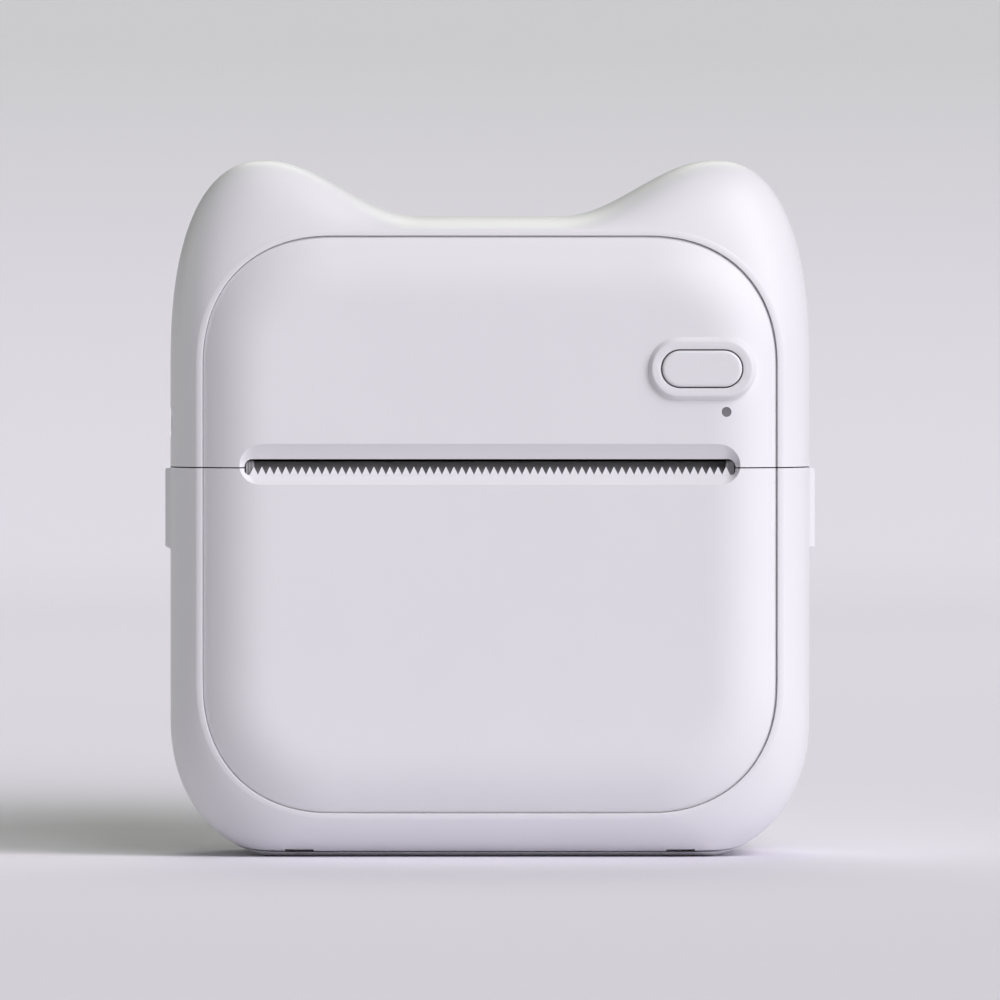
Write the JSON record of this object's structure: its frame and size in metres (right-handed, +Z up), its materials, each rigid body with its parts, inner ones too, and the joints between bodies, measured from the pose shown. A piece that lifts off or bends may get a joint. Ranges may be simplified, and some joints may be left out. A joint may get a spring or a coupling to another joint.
{
  "type": "thermal label printer",
  "caption": "Pocket thermal label printer with an eared rounded body, a swollen front panel, a tear slot, an oval button and a drop-front paper bay.",
  "frame": {"origin": "middle of the footprint, on the surface the printer stands on", "axes": "+Z up, -Y out of the front panel, +X to the right of someone facing the front"},
  "size_m": [0.0798, 0.04, 0.0854],
  "materials": {
    "shell": "fine satin moulded surface",
    "tear_bar": "smooth moulded teeth",
    "inner_moulding": "plain moulded surface",
    "dark_moulding": "plain moulded surface",
    "light_pipe": "clear moulding with a cloudy core",
    "circuit_board": "solder resist over glass laminate",
    "chip": "moulded epoxy",
    "steel": "nickel-plated",
    "sheet_steel": "zinc-plated sheet",
    "led": "diffused lens",
    "battery_pouch": "laminated pouch",
    "foam": "adhesive foam",
    "socket_plastic": "moulded nylon",
    "wire": "insulated wire",
    "ribbon": "polyimide film",
    "aluminium": "as extruded",
    "ceramic": "glazed",
    "brass": "machined",
    "gear_plastic": "moulded acetal",
    "roller_rubber": "ground rubber"
  },
  "bodies": {
    "body": {"rear_case": "shell", "front_frame": "shell", "upper_panel": "shell", "light_pipe": "light_pipe", "main_board": "circuit_board", "board_chips": "chip", "usb_socket": "steel", "tact_switch": "steel", "status_led": "led", "board_screws": "steel", "battery": "battery_pouch", "battery_pad": "foam", "battery_plug": "socket_plastic", "battery_leads": "wire", "paper_guide": "dark_moulding", "paper_sensor": "chip", "head_chassis": "sheet_steel", "head_pivot_pin": "steel", "head_ribbon": "ribbon", "motor_can": "sheet_steel", "gear_posts": "steel", "gear_clips": "steel", "motor_screws": "steel", "motor_leads": "wire", "chassis_screws": "steel", "case_screws": "steel", "paper_cradle": "inner_moulding", "hinge_pins": "steel"},
    "lid": {"lid_frame": "shell", "lid_panel": "shell", "tear_bar": "tear_bar", "lid_liner": "inner_moulding", "liner_screws": "steel", "platen_bracket": "sheet_steel", "bracket_screws": "steel", "platen_bushings": "dark_moulding"},
    "platen": {"platen_shaft": "steel", "platen_roller": "roller_rubber", "platen_gear": "gear_plastic"},
    "transfer": {"transfer_gear": "gear_plastic"},
    "reduction": {"reduction_gear": "gear_plastic"},
    "rotor": {"motor_shaft": "steel", "motor_pinion": "brass"},
    "button": {"power_button": "shell"},
    "plunger": {"switch_plunger": "chip"},
    "head": {"head_heatsink": "aluminium", "head_ceramic": "ceramic", "head_springs": "steel"}
  },
  "joints": [
    {"name": "lid_hinge", "type": "hinge", "parent": "body", "child": "lid", "pos_m": [0, -0.012, 0.0061], "axis": [1, 0, 0], "range_deg": [0, 80]},
    {"name": "platen_spin", "type": "hinge", "parent": "lid", "child": "platen", "pos_m": [0, -0.01, 0.042], "axis": [1, 0, 0], "continuous": true},
    {"name": "transfer_spin", "type": "hinge", "parent": "body", "child": "transfer", "pos_m": [0, -0.00301, 0.04161], "axis": [1, 0, 0], "continuous": true},
    {"name": "reduction_spin", "type": "hinge", "parent": "body", "child": "reduction", "pos_m": [0, 0.00465, 0.04804], "axis": [1, 0, 0], "continuous": true},
    {"name": "motor_spin", "type": "hinge", "parent": "body", "child": "rotor", "pos_m": [0, 0.00693, 0.05654], "axis": [1, 0, 0], "continuous": true},
    {"name": "button_press", "type": "slide", "parent": "body", "child": "button", "axis": [0, 1, 0], "range_m": [0, 0.00035], "stiffness_N_per_m": 500},
    {"name": "switch_press", "type": "slide", "parent": "body", "child": "plunger", "axis": [0, 1, 0], "range_m": [0, 0.00035]},
    {"name": "head_tilt", "type": "hinge", "parent": "body", "child": "head", "pos_m": [0, -0.00275, 0.03739], "axis": [-1, 0, 0], "range_deg": [0, 1], "stiffness_Nm_per_rad": 0.2, "springref_deg": -2.86}
  ],
  "couplings": [
    {"joint": "transfer_spin", "follows": "platen_spin", "ratio": -1.5},
    {"joint": "reduction_spin", "follows": "platen_spin", "ratio": 3.8571},
    {"joint": "motor_spin", "follows": "platen_spin", "ratio": -8.2653},
    {"joint": "switch_press", "follows": "button_press", "ratio": 1}
  ]
}
